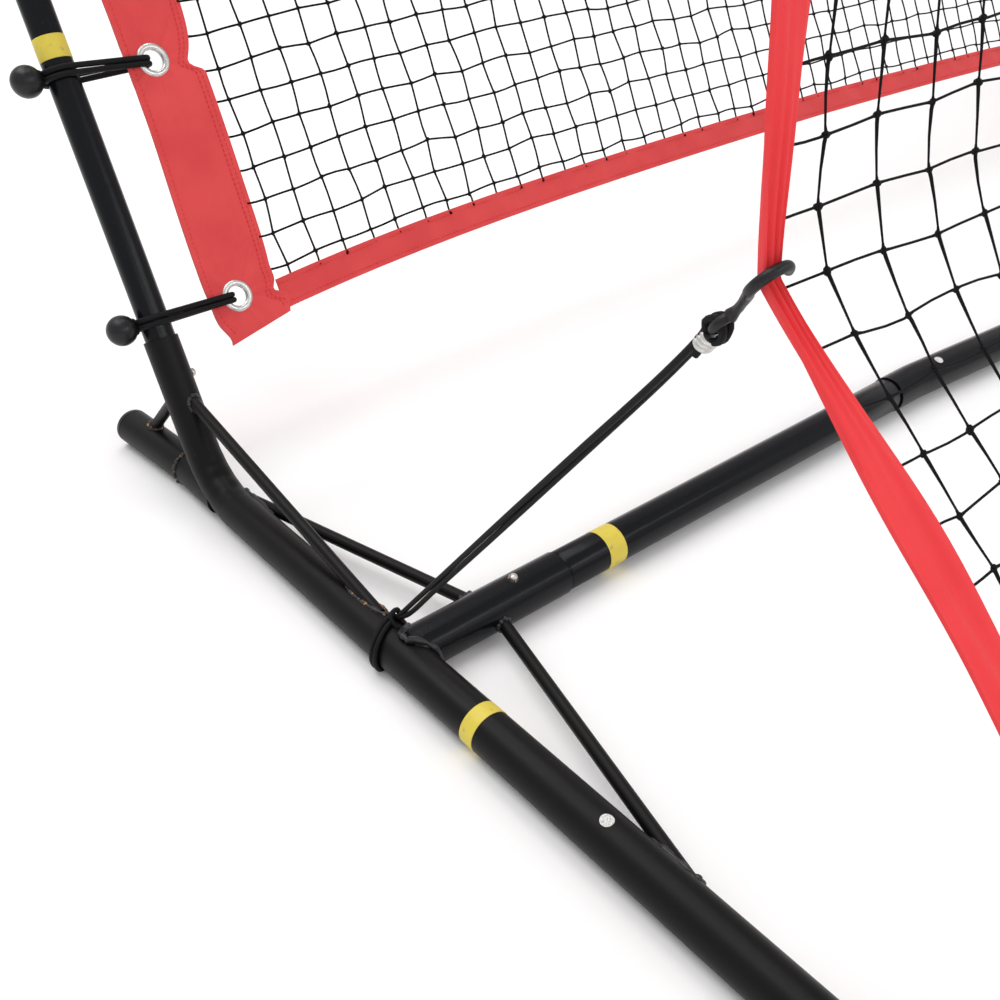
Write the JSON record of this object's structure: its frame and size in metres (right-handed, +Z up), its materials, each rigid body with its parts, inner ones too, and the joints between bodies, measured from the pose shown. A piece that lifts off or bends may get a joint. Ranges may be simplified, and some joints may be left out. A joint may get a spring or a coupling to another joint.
{
  "type": "pitch back rebounder",
  "caption": "Free-standing ball rebounder: black steel tube frame with a red-edged rebound net in front, hooked back by elastic cords, and a second net laced to the rear.",
  "frame": {"origin": "middle of the footprint, on the floor", "axes": "+X across the player's view, +Y away from the player, +Z up"},
  "size_m": [1.881, 1.229, 1.4648],
  "materials": {
    "black_steel": "gloss black powder coat, worn and dusty near the floor",
    "black_plastic": "moulded black plastic",
    "bright_steel": "plated steel with rust at its rim",
    "black_cord": "braided elastic cord",
    "red_cloth": "woven red webbing cloth, stitched",
    "black_net": "black knotted twine net"
  },
  "bodies": {
    "frame": {"floor_tube_left": "black_steel", "rear_foot_left": "black_steel", "cross_socket_left": "black_steel", "upright_brace_left": "black_steel", "rear_brace_left": "black_steel", "foot_brace_left": "black_steel", "front_brace_left": "black_steel", "cross_tube_left": "black_steel", "front_bar_left": "black_steel", "upright_left": "black_steel", "top_frame_left": "black_steel", "rear_cap_left": "black_plastic", "strap_hook_left": "black_plastic", "back_sleeve_left": "red_cloth", "front_strap_left": "red_cloth", "hook_cord_left": "black_cord", "ball_bungee_left_1": "black_cord", "ball_bungee_left_2": "black_cord", "ball_bungee_left_3": "black_cord", "ball_bungee_left_4": "black_cord", "ball_bungee_left_5": "black_cord", "ball_bungee_left_6": "black_cord", "floor_tube_right": "black_steel", "rear_foot_right": "black_steel", "cross_socket_right": "black_steel", "upright_brace_right": "black_steel", "rear_brace_right": "black_steel", "foot_brace_right": "black_steel", "front_brace_right": "black_steel", "cross_tube_right": "black_steel", "front_bar_right": "black_steel", "upright_right": "black_steel", "top_frame_right": "black_steel", "rear_cap_right": "black_plastic", "strap_hook_right": "black_plastic", "back_sleeve_right": "red_cloth", "front_strap_right": "red_cloth", "hook_cord_right": "black_cord", "ball_bungee_right_1": "black_cord", "ball_bungee_right_2": "black_cord", "ball_bungee_right_3": "black_cord", "ball_bungee_right_4": "black_cord", "ball_bungee_right_5": "black_cord", "ball_bungee_right_6": "black_cord", "cross_tube_centre": "black_steel", "back_band_bottom": "red_cloth", "back_band_top": "red_cloth", "front_top_sleeve": "red_cloth", "front_foot_sleeve": "red_cloth", "back_net": "black_net", "front_net": "black_net"},
    "upright_button_left": {"upright_button_left": "bright_steel"},
    "elbow_button_left": {"elbow_button_left": "bright_steel"},
    "cross_button_left": {"cross_button_left": "bright_steel"},
    "centre_button_left": {"centre_button_left": "bright_steel"},
    "upright_button_right": {"upright_button_right": "bright_steel"},
    "elbow_button_right": {"elbow_button_right": "bright_steel"},
    "cross_button_right": {"cross_button_right": "bright_steel"},
    "centre_button_right": {"centre_button_right": "bright_steel"}
  },
  "joints": [
    {"name": "upright_button_left_press", "type": "slide", "parent": "frame", "child": "upright_button_left", "axis": [-1, 0, 0], "range_m": [0, 0.0045], "stiffness_N_per_m": 300, "springref_m": -0.002},
    {"name": "elbow_button_left_press", "type": "slide", "parent": "frame", "child": "elbow_button_left", "axis": [-1, 0, 0], "range_m": [0, 0.0045], "stiffness_N_per_m": 300, "springref_m": -0.002},
    {"name": "cross_button_left_press", "type": "slide", "parent": "frame", "child": "cross_button_left", "axis": [0, 0, -1], "range_m": [0, 0.0045], "stiffness_N_per_m": 300, "springref_m": -0.002},
    {"name": "centre_button_left_press", "type": "slide", "parent": "frame", "child": "centre_button_left", "axis": [0, -1, 0], "range_m": [0, 0.0045], "stiffness_N_per_m": 300, "springref_m": -0.002},
    {"name": "upright_button_right_press", "type": "slide", "parent": "frame", "child": "upright_button_right", "axis": [1, 0, 0], "range_m": [0, 0.0045], "stiffness_N_per_m": 300, "springref_m": -0.002},
    {"name": "elbow_button_right_press", "type": "slide", "parent": "frame", "child": "elbow_button_right", "axis": [1, 0, 0], "range_m": [0, 0.0045], "stiffness_N_per_m": 300, "springref_m": -0.002},
    {"name": "cross_button_right_press", "type": "slide", "parent": "frame", "child": "cross_button_right", "axis": [0, 0, -1], "range_m": [0, 0.0045], "stiffness_N_per_m": 300, "springref_m": -0.002},
    {"name": "centre_button_right_press", "type": "slide", "parent": "frame", "child": "centre_button_right", "axis": [0, -1, 0], "range_m": [0, 0.0045], "stiffness_N_per_m": 300, "springref_m": -0.002}
  ]
}
